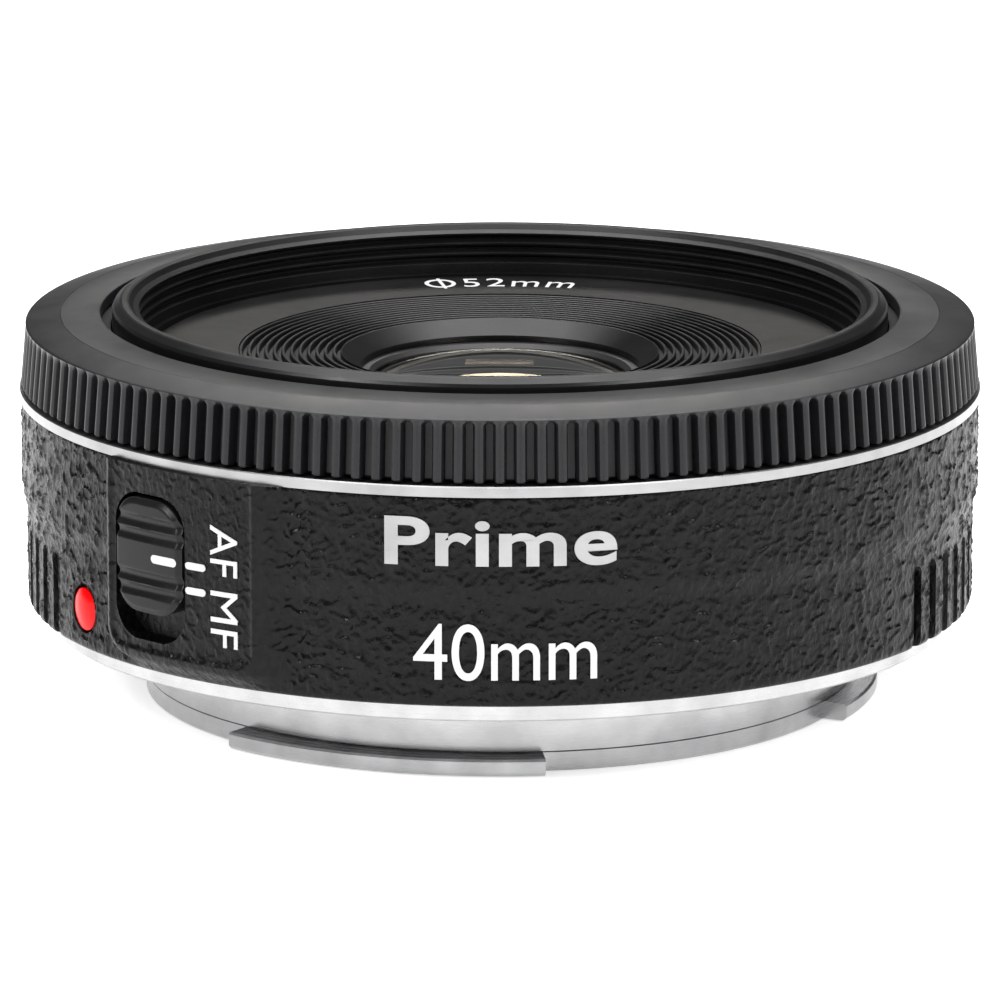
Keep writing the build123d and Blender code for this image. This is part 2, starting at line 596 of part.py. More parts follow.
# ---- Switch ----
def switch_knob():
    middle_z = (KNOB_LOW_Z + KNOB_HIGH_Z) / 2
    outline = Pos(0, middle_z) * RectangleRounded(KNOB_W, KNOB_HIGH_Z - KNOB_LOW_Z, KNOB_CORNER_R)
    knob = radial_prism(outline, WELL_FLOOR_R + 0.05, 36) & Pos(0, 0, middle_z) * Cylinder(KNOB_R, 12)
    knob -= [Pos(0, -(KNOB_R + 0.12), z) * Rot(0, 90, 0) * Cylinder(0.42, 12) for z in KNOB_GROOVE_ZS]
    knob += block(1.8, 31.95, WELL_FLOOR_R + 0.1, 8.85, 10.85)
    return polar(SWITCH_AZIMUTH) * knob


def switch_brush():
    """Two sprung copper fingers on the stem's end."""
    plate = block(1.7, 31.8, 31.95, 8.9, 10.8)
    fingers = block(0.4, 31.62, 31.8, 8.9, 9.3) + block(0.4, 31.62, 31.8, 10.4, 10.8)
    return polar(SWITCH_AZIMUTH) * (plate + fingers)


# ---- Lens group ----
def front_barrel():
    """The tube that carries the optics, with the filter thread cut inside its rim."""
    thread_rings = []
    for turn in range(THREAD_TURNS):
        z = THREAD_LOW_Z + THREAD_PITCH * (turn + 0.5)
        thread_rings += [(THREAD_R, z - 0.32), (THREAD_R + THREAD_DEPTH, z - 0.06),
                         (THREAD_R + THREAD_DEPTH, z + 0.06), (THREAD_R, z + 0.32)]
    body = revolved(
        [(FRONT_R, FRONT_LOW_Z), (FRONT_R, 22.2), (FRONT_R - 0.12, 22.42), (26.95, 22.74), (26.8, RIM_Z),
         (26.45, RIM_Z), (26.3, 22.74), (THREAD_R + THREAD_DEPTH, 22.4), (THREAD_R, 22.2)]
        + thread_rings[::-1]
        + [(THREAD_R, THREAD_END_Z), (SEAT_R, THREAD_END_Z), (SEAT_R, SEAT_Z), (23.5, SEAT_Z), (23.5, 17.6),
           (FRONT_BORE_R, 17.0), (FRONT_BORE_R, WEB_HIGH_Z), (12.6, WEB_HIGH_Z), (12.6, WEB_LOW_Z),
           (FRONT_BORE_R, WEB_LOW_Z), (FRONT_BORE_R, FRONT_LOW_Z)]
    )
    body -= [polar(azimuth, 0, FOLLOWER_Z) * radial_rod(FOLLOWER_R, 25, 28) for azimuth in FOLLOWER_AZIMUTHS]
    body -= [polar(azimuth, IRIS_SCREW_R) * rod(0.5, 9, 10.6) for azimuth in IRIS_SCREW_AZIMUTHS]
    return body


def cam_follower_pins():
    pin = radial_rod(FOLLOWER_R, FRONT_BORE_R, 29.5)
    return solids_of([polar(azimuth, 0, FOLLOWER_Z) * pin for azimuth in FOLLOWER_AZIMUTHS])


def name_ring():
    """Flat ring round the glass, dropped into the seat below the filter thread."""
    outer_r = SEAT_R - 0.05
    shelf_z = SEAT_Z + 0.55
    return revolved([
        (NAME_RING_R_IN, SEAT_Z), (outer_r, SEAT_Z), (outer_r, shelf_z), (NAME_RING_R_OUT + 0.1, shelf_z),
        (NAME_RING_R_OUT, NAME_RING_Z), (NAME_RING_R_IN, NAME_RING_Z - 0.08),
    ])


def front_baffle():
    """Stepped light trap: concentric ridges, then a smooth cone down to the glass."""
    outer_r = NAME_RING_R_IN - 0.03
    top_z = NAME_RING_Z - 0.15
    pitch = (outer_r - BAFFLE_CONE_R) / BAFFLE_RIDGES
    ridges = []
    for i in range(BAFFLE_RIDGES):
        r = outer_r - pitch * i
        z = top_z - 0.15 * i / BAFFLE_RIDGES
        ridges += [(r, z - 0.04), (r - 0.06, z), (r - 0.18, z), (r - 0.24, z - 0.04),
                   (r - 0.28, z - 0.42), (r - pitch + 0.02, z - 0.42)]
    return revolved(ridges + [
        (BAFFLE_CONE_R, top_z - 0.17), (BAFFLE_CONE_R - 0.08, top_z - 0.2), (BAFFLE_MOUTH_R + 0.03, 17.85),
        (BAFFLE_MOUTH_R, 17.7), (BAFFLE_MOUTH_R, 17.45), (11.6, 17.45), (13.0, 18.1), (outer_r, 18.1),
    ])


def front_cell():
    return revolved([
        (6.8, 10.0), (6.8, 10.15), (8.42, 10.15), (8.42, 13.4), (8.9, 13.4), (8.9, 15.15), (9.82, 15.15),
        (9.82, 16.9), (10.92, 16.9), (10.92, 17.35), (12.55, 17.35), (12.55, 11.7), (15.5, 11.7),
        (15.5, WEB_HIGH_Z), (12.55, WEB_HIGH_Z), (12.55, 10.0),
    ])


def front_retaining_ring():
    return revolved([(9.05, 16.95), (10.9, 16.92), (10.9, 17.4), (9.35, 17.4), (9.05, 17.1)])


def rear_cell():
    body = revolved([
        (6.22, 8.0), (IRIS_PLATE_R, 8.0), (IRIS_PLATE_R, 7.4), (12.5, 7.4), (12.5, 0.2), (12.3, 0.0),
        (10.42, 0.0), (10.42, 0.9), (9.42, 0.9), (9.42, 2.12), (8.62, 2.12), (8.62, 5.5), (6.22, 5.5),
    ])
    body -= polar(IRIS_DRIVE_AZIMUTH, IRIS_PINION_R) * rod(2.8, 7, 8.5)
    body -= [polar(azimuth, IRIS_SCREW_R) * rod(0.5, 7, 8.5) for azimuth in IRIS_SCREW_AZIMUTHS]
    return body


def rear_retaining_ring():
    return revolved([(8.9, 0.25), (9.1, 0.05), (10.4, 0.05), (10.4, 0.88), (9.3, 0.88), (8.9, 0.84)])


# ---- Iris ----
def iris_base_plate():
    """Cup for the blades: a pivot hole for each blade and a rim that the iris ring turns in."""
    body = tube(7.0, IRIS_PLATE_R, 8.0, 8.3) + tube(IRIS_RING_R + PIN_CLEARANCE, IRIS_PLATE_R, 8.0, 9.4)
    body -= tube(12, 20, 8.3, 9.5, IRIS_DRIVE_AZIMUTH - 30, IRIS_DRIVE_AZIMUTH + 30)
    body += polar(IRIS_DRIVE_AZIMUTH, IRIS_PINION_R) * rod(3.2, 8.0, 8.3)
    body -= polar(IRIS_DRIVE_AZIMUTH, IRIS_PINION_R) * rod(0.9, 7.9, 8.4)
    for blade in range(BLADE_COUNT):
        body -= polar(360 / BLADE_COUNT * blade, BLADE_PIVOT_R) * rod(PIVOT_PIN_R + PIN_CLEARANCE, 7.9, 8.4)
    body -= [polar(azimuth, IRIS_SCREW_R) * rod(0.5, 7, 10) for azimuth in IRIS_SCREW_AZIMUTHS]
    return body


def iris_cover_plate():
    body = tube(7.0, IRIS_PLATE_R - 0.2, 9.4, WEB_LOW_Z)
    body -= [polar(azimuth, IRIS_SCREW_R) * rod(0.5, 9, 10) for azimuth in IRIS_SCREW_AZIMUTHS]
    return body


def iris_screws():
    screw = rod(0.48, 7.4, 10.5) + rod(0.9, 6.9, 7.4)
    screw -= Pos(0, 0, 6.9) * (Box(1.1, 0.2, 0.4) + Box(0.2, 1.1, 0.4))
    return solids_of([polar(azimuth, IRIS_SCREW_R) * screw for azimuth in IRIS_SCREW_AZIMUTHS])


def drive_pin_path(share):
    """Where a blade's drive pin stands in the iris ring, from open (0) to closed (1)."""
    turn = radians(BLADE_TURN * share)
    x = -BLADE_TAIL * cos(turn)
    y = -BLADE_PIVOT_R - BLADE_TAIL * sin(turn)
    back = -radians(IRIS_TURN * share)
    return x * cos(back) - y * sin(back), x * sin(back) + y * cos(back)


def iris_ring():
    """Ring with one cam slot for each blade and a toothed sector for the aperture motor's pinion."""
    body = tube(12.6, IRIS_RING_R, IRIS_RING_LOW_Z, IRIS_RING_HIGH_Z)
    thickness = IRIS_RING_HIGH_Z - IRIS_RING_LOW_Z
    teeth = gear_outline(IRIS_TEETH, MODULE, 1.2 * MODULE, 0.06) - Circle(IRIS_RING_R - 0.2)
    sector_start, sector_end = IRIS_DRIVE_AZIMUTH - 26, IRIS_DRIVE_AZIMUTH + 6
    toothed = Rot(0, 0, IRIS_DRIVE_AZIMUTH) * extrude(Pos(0, 0, IRIS_RING_LOW_Z) * teeth, thickness)
    body += toothed & tube(15, 19, 9, 10, sector_start, sector_end)
    steps = 5
    slot = None
    slot_w = 2 * (DRIVE_PIN_R + PIN_CLEARANCE)
    for i in range(steps):
        piece = slot_between(drive_pin_path(i / steps), drive_pin_path((i + 1) / steps), slot_w)
        slot = piece if slot is None else slot + piece
    cutter = extrude(Pos(0, 0, 9) * slot, 1)
    return body - [Rot(0, 0, 360 / BLADE_COUNT * blade) * cutter for blade in range(BLADE_COUNT)]


def aperture_blade(index):
    """A thin crescent with a pivot pin to the base plate and a drive pin up into the iris ring."""
    wedge_azimuths = [-7, 20, 50, 75, BLADE_SPAN]
    wedge = [(0, 0)] + [(16 * sin(radians(a)), -16 * cos(radians(a))) for a in wedge_azimuths]
    crescent = (Circle(BLADE_R_OUT) - Circle(BLADE_R_IN)) & make_face(Polyline(*wedge, close=True))
    tail = slot_between((0, -BLADE_PIVOT_R), (-BLADE_TAIL, -BLADE_PIVOT_R), 1.6)
    neck = Pos(0, -BLADE_PIVOT_R + 0.9) * Rectangle(1.6, 1.8)
    low_z = BLADE_LOW_Z + BLADE_STEP * index
    blade = extrude(Pos(0, 0, low_z) * (crescent + tail + neck), BLADE_T)
    blade += Pos(0, -BLADE_PIVOT_R, 0) * rod(PIVOT_PIN_R, 8.02, low_z + BLADE_T)
    blade += Pos(-BLADE_TAIL, -BLADE_PIVOT_R, 0) * rod(DRIVE_PIN_R, low_z, IRIS_RING_HIGH_Z)
    return Rot(0, 0, 360 / BLADE_COUNT * index) * blade


def aperture_motor():
    can = rod(2.5, 3.4, 8.0) + rod(0.85, 8.0, 8.6) + rod(0.36, 8.6, 9.38)
    return polar(IRIS_DRIVE_AZIMUTH, IRIS_PINION_R) * can


def aperture_pinion():
    """The pinion's space faces the tooth that the iris ring turns towards it at rest."""
    half_tooth = 180 / PINION_TEETH
    gear = spur_gear(PINION_TEETH, 8.95, 9.37, 0.42)
    return polar(IRIS_DRIVE_AZIMUTH, IRIS_PINION_R) * Rot(0, 0, 180 + half_tooth) * gear


# ---- Assembly: one file for each node ----
NODES = {
    piece.__name__: piece for piece in (
        mount_ring, mount_screws, rear_cover, contact_block, contact_pads, contact_block_screws, fixed_barrel,
        trim_ring, index_dot, guide_sleeve, drive_ring_retainer, focus_ring_snap_ring, light_seal,
        photo_interrupters, flex_cable, switch_board, switch_detent_spring, main_board, board_chips,
        board_connector, board_screws, motor_bracket, bracket_screws, focus_motor, idler_shaft, drive_ring,
        idler_gear, motor_pinion, focus_ring, encoder_ring, switch_knob, switch_brush, front_barrel,
        cam_follower_pins, name_ring, front_baffle, front_cell, front_retaining_ring, rear_cell,
        rear_retaining_ring, iris_base_plate, iris_cover_plate, iris_screws, iris_ring, aperture_motor,
        aperture_pinion,
    )
}

os.makedirs("parts", exist_ok=True)
for name, make in NODES.items():
    export_step(make(), f"parts/{name}.step")
for number, figures in enumerate(LENSES, start=1):
    export_step(lens_element(*figures), f"parts/lens_element_{number}.step")
for index in range(BLADE_COUNT):
    export_step(aperture_blade(index), f"parts/aperture_blade_{index + 1}.step")
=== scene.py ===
import json
import math

import bpy
import bmesh
import numpy as np
from mathutils import Matrix, Vector, noise


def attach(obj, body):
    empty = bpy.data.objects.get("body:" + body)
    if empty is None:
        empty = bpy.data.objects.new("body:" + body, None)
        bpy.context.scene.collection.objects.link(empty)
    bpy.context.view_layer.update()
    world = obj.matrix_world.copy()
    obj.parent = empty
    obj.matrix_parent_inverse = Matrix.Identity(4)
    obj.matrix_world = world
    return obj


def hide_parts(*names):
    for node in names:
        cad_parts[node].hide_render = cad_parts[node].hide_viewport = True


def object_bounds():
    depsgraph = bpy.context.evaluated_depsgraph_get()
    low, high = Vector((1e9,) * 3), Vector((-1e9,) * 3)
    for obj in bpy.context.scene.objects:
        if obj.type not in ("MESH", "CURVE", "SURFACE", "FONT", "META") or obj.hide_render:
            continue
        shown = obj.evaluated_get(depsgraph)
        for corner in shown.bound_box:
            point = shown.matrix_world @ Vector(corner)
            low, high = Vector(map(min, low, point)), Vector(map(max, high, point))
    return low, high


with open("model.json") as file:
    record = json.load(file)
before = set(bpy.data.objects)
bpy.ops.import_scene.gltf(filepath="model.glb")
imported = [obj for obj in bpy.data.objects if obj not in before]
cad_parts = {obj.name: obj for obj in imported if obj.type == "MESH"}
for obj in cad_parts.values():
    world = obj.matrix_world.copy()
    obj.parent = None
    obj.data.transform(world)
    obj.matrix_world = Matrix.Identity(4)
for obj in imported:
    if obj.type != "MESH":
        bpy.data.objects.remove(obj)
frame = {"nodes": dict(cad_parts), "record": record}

cad_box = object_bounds()

# A pancake autofocus prime lens. Every size is in millimetres and becomes metres in the meshes. An azimuth
# is in degrees about +Z, from -Y (0, towards the camera) towards +X (90).
MM = 0.001
SMOOTH_ANGLE = math.radians(32)


# ---- Mesh helpers ----
def on_circle(radius, azimuth, z):
    turn = math.radians(azimuth)
    return Vector((radius * math.sin(turn), -radius * math.cos(turn), z)) * MM


def finish_piece(obj, body, material, sharp_angle=SMOOTH_ANGLE):
    """Smooth shading with sharp edges kept, a material and a body to ride on."""
    mesh = obj.data
    mesh.shade_smooth()
    mesh.set_sharp_from_angle(angle=sharp_angle)
    mesh.materials.clear()
    mesh.materials.append(material)
    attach(obj, body)
    return obj


def new_object(name, verts, faces):
    mesh = bpy.data.meshes.new(name)
    mesh.from_pydata([tuple(v) for v in verts], [], faces)
    mesh.update()
    obj = bpy.data.objects.new(name, mesh)
    bpy.context.scene.collection.objects.link(obj)
    return obj


# ---- Material helpers ----
class Shader:
    """A material under construction: a Principled shader and short ways to add nodes to it."""

    def __init__(self, name, color, roughness, metallic=0.0, **sockets):
        self.material = bpy.data.materials.new(name)
        self.material.use_nodes = True
        self.tree = self.material.node_tree
        self.shader = self.tree.nodes["Principled BSDF"]
        self.set(base_color=(*color, 1.0), roughness=roughness, metallic=metallic, **sockets)
        self.coords = self.tree.nodes.new("ShaderNodeTexCoord").outputs["Object"]

    def set(self, **sockets):
        for key, value in sockets.items():
            self.shader.inputs[key.replace("_", " ").title().replace("Ior", "IOR")].default_value = value

    def node(self, kind, inputs=None, **settings):
        node = self.tree.nodes.new(kind)
        for key, value in settings.items():
            setattr(node, key, value)
        for key, value in (inputs or {}).items():
            if isinstance(value, bpy.types.NodeSocket):
                self.tree.links.new(value, node.inputs[key])
            else:
                node.inputs[key].default_value = value
        return node

    def math(self, operation, a, b=0.0):
        return self.node("ShaderNodeMath", {0: a, 1: b}, operation=operation).outputs[0]

    def scaled(self, x, y, z):
        """Object coordinates multiplied along each axis."""
        node = self.node("ShaderNodeVectorMath", {0: self.coords, 1: (x, y, z)}, operation="MULTIPLY")
        return node.outputs[0]

    def radial(self, per_mm_r, per_mm_z):
        """Coordinates that change only with the radius and the height, for turned surfaces."""
        split = self.node("ShaderNodeSeparateXYZ", {0: self.coords})
        square_x = self.math("POWER", split.outputs[0], 2.0)
        square_y = self.math("POWER", split.outputs[1], 2.0)
        squares = self.math("ADD", square_x, square_y)
        radius = self.math("MULTIPLY", self.math("SQRT", squares), per_mm_r / MM)
        height = self.math("MULTIPLY", split.outputs[2], per_mm_z / MM)
        return self.node("ShaderNodeCombineXYZ", {0: radius, 2: height}).outputs[0]

    def noise(self, vector, scale, detail=3.0, roughness=0.55, distortion=0.0):
        return self.node("ShaderNodeTexNoise", {
            "Vector": vector, "Scale": scale, "Detail": detail,
            "Roughness": roughness, "Distortion": distortion,
        }).outputs["Fac"]

    def soft_cells(self, vector, scale, smoothness):
        inputs = {"Vector": vector, "Scale": scale, "Smoothness": smoothness}
        return self.node("ShaderNodeTexVoronoi", inputs, feature="SMOOTH_F1").outputs["Distance"]

    def ramp(self, value, low, high, low_to=0.0, high_to=1.0):
        return self.node("ShaderNodeMapRange", {
            "Value": value, "From Min": low, "From Max": high, "To Min": low_to, "To Max": high_to,
        }).outputs[0]

    def colors(self, value, dark, light):
        node = self.node("ShaderNodeMix", {0: value}, data_type="RGBA")
        node.inputs["A"].default_value = (*dark, 1.0)
        node.inputs["B"].default_value = (*light, 1.0)
        return node.outputs["Result"]

    def drive(self, socket, value):
        self.tree.links.new(value, self.shader.inputs[socket])

    def bump(self, height, depth_mm):
        """Raise the surface by height, 0 to 1, times a depth in millimetres."""
        inputs = {"Strength": 1.0, "Distance": depth_mm * MM, "Height": height}
        node = self.node("ShaderNodeBump", inputs)
        self.tree.links.new(node.outputs[0], self.shader.inputs["Normal"])


def moulded(name, dark, light, roughness, grain_mm=0.12, depth_mm=0.006, spread=0.1, **sockets):
    """Moulded plastic: fine spark-eroded grain with a little tone and gloss variation."""
    s = Shader(name, light, roughness, **sockets)
    grain = s.noise(s.coords, 1 / (grain_mm * MM), 3.0, 0.6)
    broad = s.noise(s.coords, 1 / (4.0 * MM), 2.0)
    s.drive("Base Color", s.colors(s.ramp(grain, 0.35, 0.65), dark, light))
    s.drive("Roughness", s.ramp(broad, 0.3, 0.7, roughness - spread / 2, roughness + spread / 2))
    s.bump(grain, depth_mm)
    return s.material


def metal(name, dark, light, roughness, line_mm=0.03, depth_mm=0.0008, spread=0.08, **sockets):
    """Turned metal: fine lines that run round the axis."""
    s = Shader(name, light, roughness, metallic=1.0, **sockets)
    lines = s.noise(s.radial(1.0, 1.0), 1 / line_mm, 2.0, 0.6)
    patches = s.noise(s.coords, 1 / (3.0 * MM), 2.0)
    s.drive("Base Color", s.colors(s.ramp(patches, 0.3, 0.7), dark, light))
    s.drive("Roughness", s.ramp(lines, 0.3, 0.7, roughness - spread / 2, roughness + spread / 2))
    s.bump(lines, depth_mm)
    return s.material


FLANK_AZIMUTH, FLANK_SPAN = -26.2, 3.4


def leather_plastic():
    """Barrel plastic with the finest part of its leather grain, which the barrel's mesh is too coarse for."""
    s = Shader("barrel_plastic", (0.005, 0.005, 0.005), 0.3, specular_ior_level=0.15)
    warp = s.noise(s.coords, 1 / (1.4 * MM), 2.0)
    wrinkles = s.noise(s.scaled(1.0, 1.0, 0.6), 1 / (0.5 * MM), 4.0, 0.62, 0.8)
    pebbles = s.soft_cells(s.scaled(1.0, 1.0, 0.7), 1 / (0.42 * MM), 0.6)
    height = s.math("ADD", s.math("MULTIPLY", wrinkles, 0.8), s.math("MULTIPLY", pebbles, -0.35))
    s.drive("Base Color", s.colors(s.ramp(height, 0.1, 0.6), (0.001, 0.001, 0.001), (0.006, 0.006, 0.0065)))
    s.drive("Roughness", s.ramp(warp, 0.3, 0.7, 0.24, 0.32))

    # The switch pad's right flank is moulded nearly smooth.
    split = s.node("ShaderNodeSeparateXYZ", {0: s.coords})
    towards_front = s.math("MULTIPLY", split.outputs[1], -1.0)
    azimuth = s.math("DEGREES", s.math("ARCTAN2", split.outputs[0], towards_front))
    off_flank = s.math("ABSOLUTE", s.math("SUBTRACT", azimuth, FLANK_AZIMUTH))
    grain_left = s.ramp(off_flank, 0.7 * FLANK_SPAN, FLANK_SPAN, 0.15, 1.0)
    s.bump(s.math("MULTIPLY", height, grain_left), 0.12)
    return s.material


def coated_glass():
    s = Shader("coated_glass", (0.95, 0.96, 0.95), 0.0, transmission_weight=1.0, ior=1.6)
    s.set(specular_tint=(1.0, 0.94, 0.82, 1.0))
    s.shader.inputs["Thin Film Thickness"].default_value = 80.0
    s.shader.inputs["Thin Film IOR"].default_value = 1.38
    dust = s.noise(s.coords, 1 / (2.0 * MM), 2.0)
    s.drive("Roughness", s.ramp(dust, 0.3, 0.8, 0.0, 0.015))
    return s.material


def printed(name, color):
    s = Shader(name, color, 0.45)
    speckle = s.noise(s.coords, 1 / (0.08 * MM), 2.0)
    s.drive("Base Color", s.colors(s.ramp(speckle, 0.3, 0.7), tuple(c * 0.88 for c in color), color))
    s.bump(speckle, 0.003)
    return s.material


def felt(name, color):
    s = Shader(name, color, 0.95, sheen_weight=0.2)
    fibres = s.noise(s.coords, 1 / (0.06 * MM), 4.0, 0.7)
    s.drive("Base Color", s.colors(fibres, tuple(c * 0.4 for c in color), tuple(c * 1.6 for c in color)))
    s.bump(fibres, 0.04)
    return s.material


MATERIALS = {
    "barrel_plastic": leather_plastic(),
    "ring_plastic": moulded("ring_plastic", (0.006, 0.006, 0.007), (0.012, 0.0125, 0.014), 0.38,
                            specular_ior_level=0.36),
    "front_plastic": moulded("front_plastic", (0.003, 0.003, 0.003), (0.006, 0.006, 0.0065), 0.36,
                             specular_ior_level=0.3),
    "knob_plastic": moulded("knob_plastic", (0.004, 0.004, 0.0045), (0.008, 0.008, 0.0085), 0.38,
                            specular_ior_level=0.22),
    "name_ring_plastic": moulded("name_ring_plastic", (0.002, 0.002, 0.002), (0.004, 0.004, 0.004), 0.42,
                                 specular_ior_level=0.22),
    "baffle_plastic": moulded("baffle_plastic", (0.003, 0.003, 0.003), (0.006, 0.006, 0.0065), 0.34,
                              specular_ior_level=0.3),
    "rear_black": moulded("rear_black", (0.010, 0.010, 0.010), (0.018, 0.018, 0.018), 0.5),
    "contact_plastic": moulded("contact_plastic", (0.012, 0.012, 0.012), (0.022, 0.022, 0.022), 0.45),
    "inner_plastic": moulded("inner_plastic", (0.015, 0.015, 0.016), (0.026, 0.026, 0.027), 0.5),
    "electronic_black": moulded("electronic_black", (0.015, 0.015, 0.016), (0.028, 0.028, 0.029), 0.45),
    "connector_plastic": moulded("connector_plastic", (0.62, 0.58, 0.48), (0.76, 0.72, 0.62), 0.45),
    "gear_plastic": moulded("gear_plastic", (0.66, 0.63, 0.56), (0.78, 0.75, 0.68), 0.4),
    "cell_black": moulded("cell_black", (0.008, 0.008, 0.008), (0.016, 0.016, 0.016), 0.42),
    "blade_black": moulded("blade_black", (0.010, 0.010, 0.010), (0.02, 0.02, 0.02), 0.38),
    "index_red": moulded("index_red", (0.66, 0.0, 0.001), (0.76, 0.0, 0.002), 0.2, depth_mm=0.0006,
                         specular_ior_level=0.12),
    "flex_amber": moulded("flex_amber", (0.42, 0.17, 0.03), (0.58, 0.27, 0.06), 0.3, depth_mm=0.002),
    "board_green": moulded("board_green", (0.008, 0.09, 0.03), (0.016, 0.16, 0.055), 0.32, depth_mm=0.003),
    "mount_steel": metal("mount_steel", (0.35, 0.35, 0.354), (0.45, 0.45, 0.455), 0.26),
    "trim_silver": metal("trim_silver", (0.29, 0.29, 0.293), (0.37, 0.37, 0.374), 0.3),
    "screw_steel": metal("screw_steel", (0.6, 0.6, 0.61), (0.78, 0.78, 0.79), 0.28),
    "screw_black": metal("screw_black", (0.03, 0.03, 0.03), (0.06, 0.06, 0.06), 0.35),
    "gold_contact": metal("gold_contact", (0.85, 0.58, 0.2), (0.95, 0.7, 0.3), 0.2),
    "spring_steel": metal("spring_steel", (0.55, 0.55, 0.56), (0.72, 0.72, 0.73), 0.25),
    "plate_steel": metal("plate_steel", (0.5, 0.5, 0.51), (0.66, 0.66, 0.67), 0.35),
    "motor_steel": metal("motor_steel", (0.5, 0.5, 0.51), (0.64, 0.64, 0.66), 0.3),
    "brass_gear": metal("brass_gear", (0.72, 0.5, 0.2), (0.86, 0.64, 0.3), 0.28),
    "copper_brush": metal("copper_brush", (0.75, 0.42, 0.24), (0.88, 0.55, 0.36), 0.28),
    "felt_black": felt("felt_black", (0.006, 0.006, 0.006)),
    "coated_glass": coated_glass(),
}
PRINT_WHITE = printed("print_white", (0.6, 0.6, 0.61))

SLOT_OF_NODE = {part["node"]: part["material_slot"] for part in frame["record"]["subparts"]}
for node_name, node in frame["nodes"].items():
    node.data.materials.clear()
    node.data.materials.append(MATERIALS[SLOT_OF_NODE[node_name]])

# ---- Turned surfaces whose radius varies with azimuth and height ----
def lathe_skin(name, azimuths, rings):
    """A closed ring-shaped mesh. rings[i, j] is the (r, z) of section point i in column j."""
    rows, columns = rings.shape[:2]
    turn = np.radians(azimuths)
    r, z = rings[..., 0], rings[..., 1]
    verts = np.stack([r * np.sin(turn), -r * np.cos(turn), z], axis=-1).reshape(-1, 3) * MM
    i, j = np.meshgrid(np.arange(rows), np.arange(columns), indexing="ij")
    next_i, next_j = (i + 1) % rows, (j + 1) % columns
    corners = [i * columns + j, i * columns + next_j, next_i * columns + next_j, next_i * columns + j]
    return new_object(name, verts.tolist(), np.stack(corners, axis=-1).reshape(-1, 4).tolist())


def smooth(share):
    share = np.clip(share, 0.0, 1.0)
    return share * share * (3 - 2 * share)


def inside_rounded_box(x, y, half_w, half_h, corner):
    """How far (x, y) lies inside a rounded rectangle round the origin, negative outside."""
    over_x = np.abs(x) - (half_w - corner)
    over_y = np.abs(y) - (half_h - corner)
    beyond = np.hypot(np.maximum(over_x, 0), np.maximum(over_y, 0))
    return corner - beyond - np.minimum(np.maximum(over_x, over_y), 0)


def arc_from(azimuths, centre, radius):
    """The distance in millimetres round the barrel from a centre azimuth, positive to the right."""
    return np.radians((azimuths - centre + 180.0) % 360.0 - 180.0) * radius


# ---- Barrel ----
BARREL_LOW_R, BARREL_R, BARREL_FOOT_R = 33.75, 34.08, 33.2
BARREL_LOW_Z, FOOT_ROUND_Z, BARREL_TOP_Z = 1.3, 1.9, 16.05
WAIST_LOW_Z, WAIST_HIGH_Z = 8.2, 9.9
PAD_R, PAD_LOW_Z, PAD_CORNER_R, PAD_FOOT_Z, PAD_FOOT_CORNER_R = 34.7, 2.6, 1.8, 1.4, 3.2
PAD_LEFT_AZIMUTH, PAD_RIGHT_AZIMUTH, PAD_RAMP_AZIMUTH = -51.8, -28.4, -23.5
PAD_BEAD_INSET, PAD_BEAD_WIDTH, PAD_BEAD_HEIGHT = 0.35, 0.22, 0.13
SWITCH_AZIMUTH = -44.1
WELL_W, WELL_LOW_Z, WELL_HIGH_Z, WELL_CORNER_R, WELL_FLOOR_R = 6.7, 3.9, 14.05, 2.3, 33.3
DOT_AZIMUTH, DOT_Z, DOT_RECESS_R, DOT_FLOOR_R = -59.3, 4.19, 1.63, 33.1
SLOT_AZIMUTHS = [start + side * 4.14 * i for start, side in ((59.7, 1), (-67.5, -1)) for i in range(16)]
SLOT_W, SLOT_TOP_Z, SLOT_FLOOR_R = 1.0, 7.1, 33.0
GRAIN_DEPTH = 0.18
# The (r, z) points of the bore, from the front: a wide mouth, a cone, the middle and the floor's opening.
BARREL_BORE = [
    (33.05, BARREL_TOP_Z), (33.05, 8.6), (32.2, 7.9),
    (32.2, 2.1), (28.4, 2.1), (28.4, BARREL_LOW_Z),
]


def leather_height(azimuths, z):
    """Moulded leather: broken, winding ridges (1) over a gently lumpy ground (0)."""
    turn = np.radians(azimuths)
    points = np.stack([34 * np.sin(turn), -34 * np.cos(turn), z], axis=-1).reshape(-1, 3)
    heights = []
    for x, y, height in points.tolist():
        point = Vector((x, y, height))
        ridge = max(0.0, 1.0 - abs(noise.noise(point * 1.4 + Vector((7, 3, 1)))) * 4.2)
        broken = min(max(0.55 + 1.8 * noise.noise(point * 1.1), 0.0), 1.0)
        lumps = 0.5 + noise.noise(point * 3.6)
        heights.append(0.8 * ridge * broken + 0.2 * lumps)
    return np.clip(np.array(heights), 0, 1).reshape(azimuths.shape)


def barrel_base(z):
    """The plain outer radius: rounded foot, straight lower wall, soft waist, wider upper wall."""
    foot = np.clip((z - BARREL_LOW_Z) / (FOOT_ROUND_Z - BARREL_LOW_Z), 0, 1)
    low = BARREL_FOOT_R + (BARREL_LOW_R - BARREL_FOOT_R) * np.sqrt(1 - (1 - foot) ** 2)
    swell = (1 - np.cos(np.pi * np.clip((z - WAIST_LOW_Z) / (WAIST_HIGH_Z - WAIST_LOW_Z), 0, 1))) / 2
    top_edge = 1 - smooth((BARREL_TOP_Z - z) / 0.16)
    return low + (BARREL_R - BARREL_LOW_R) * swell - 0.1 * top_edge


def inside_pad(azimuths, z, left, right, low_z, corner):
    """How far a point lies inside the pad's outline between two azimuths, its top beyond the barrel's."""
    top_z = BARREL_TOP_Z + 6
    x = arc_from(azimuths, (left + right) / 2, PAD_R)
    half_w = math.radians(right - left) * PAD_R / 2
    return inside_rounded_box(x, z - (low_z + top_z) / 2, half_w, (top_z - low_z) / 2, corner)


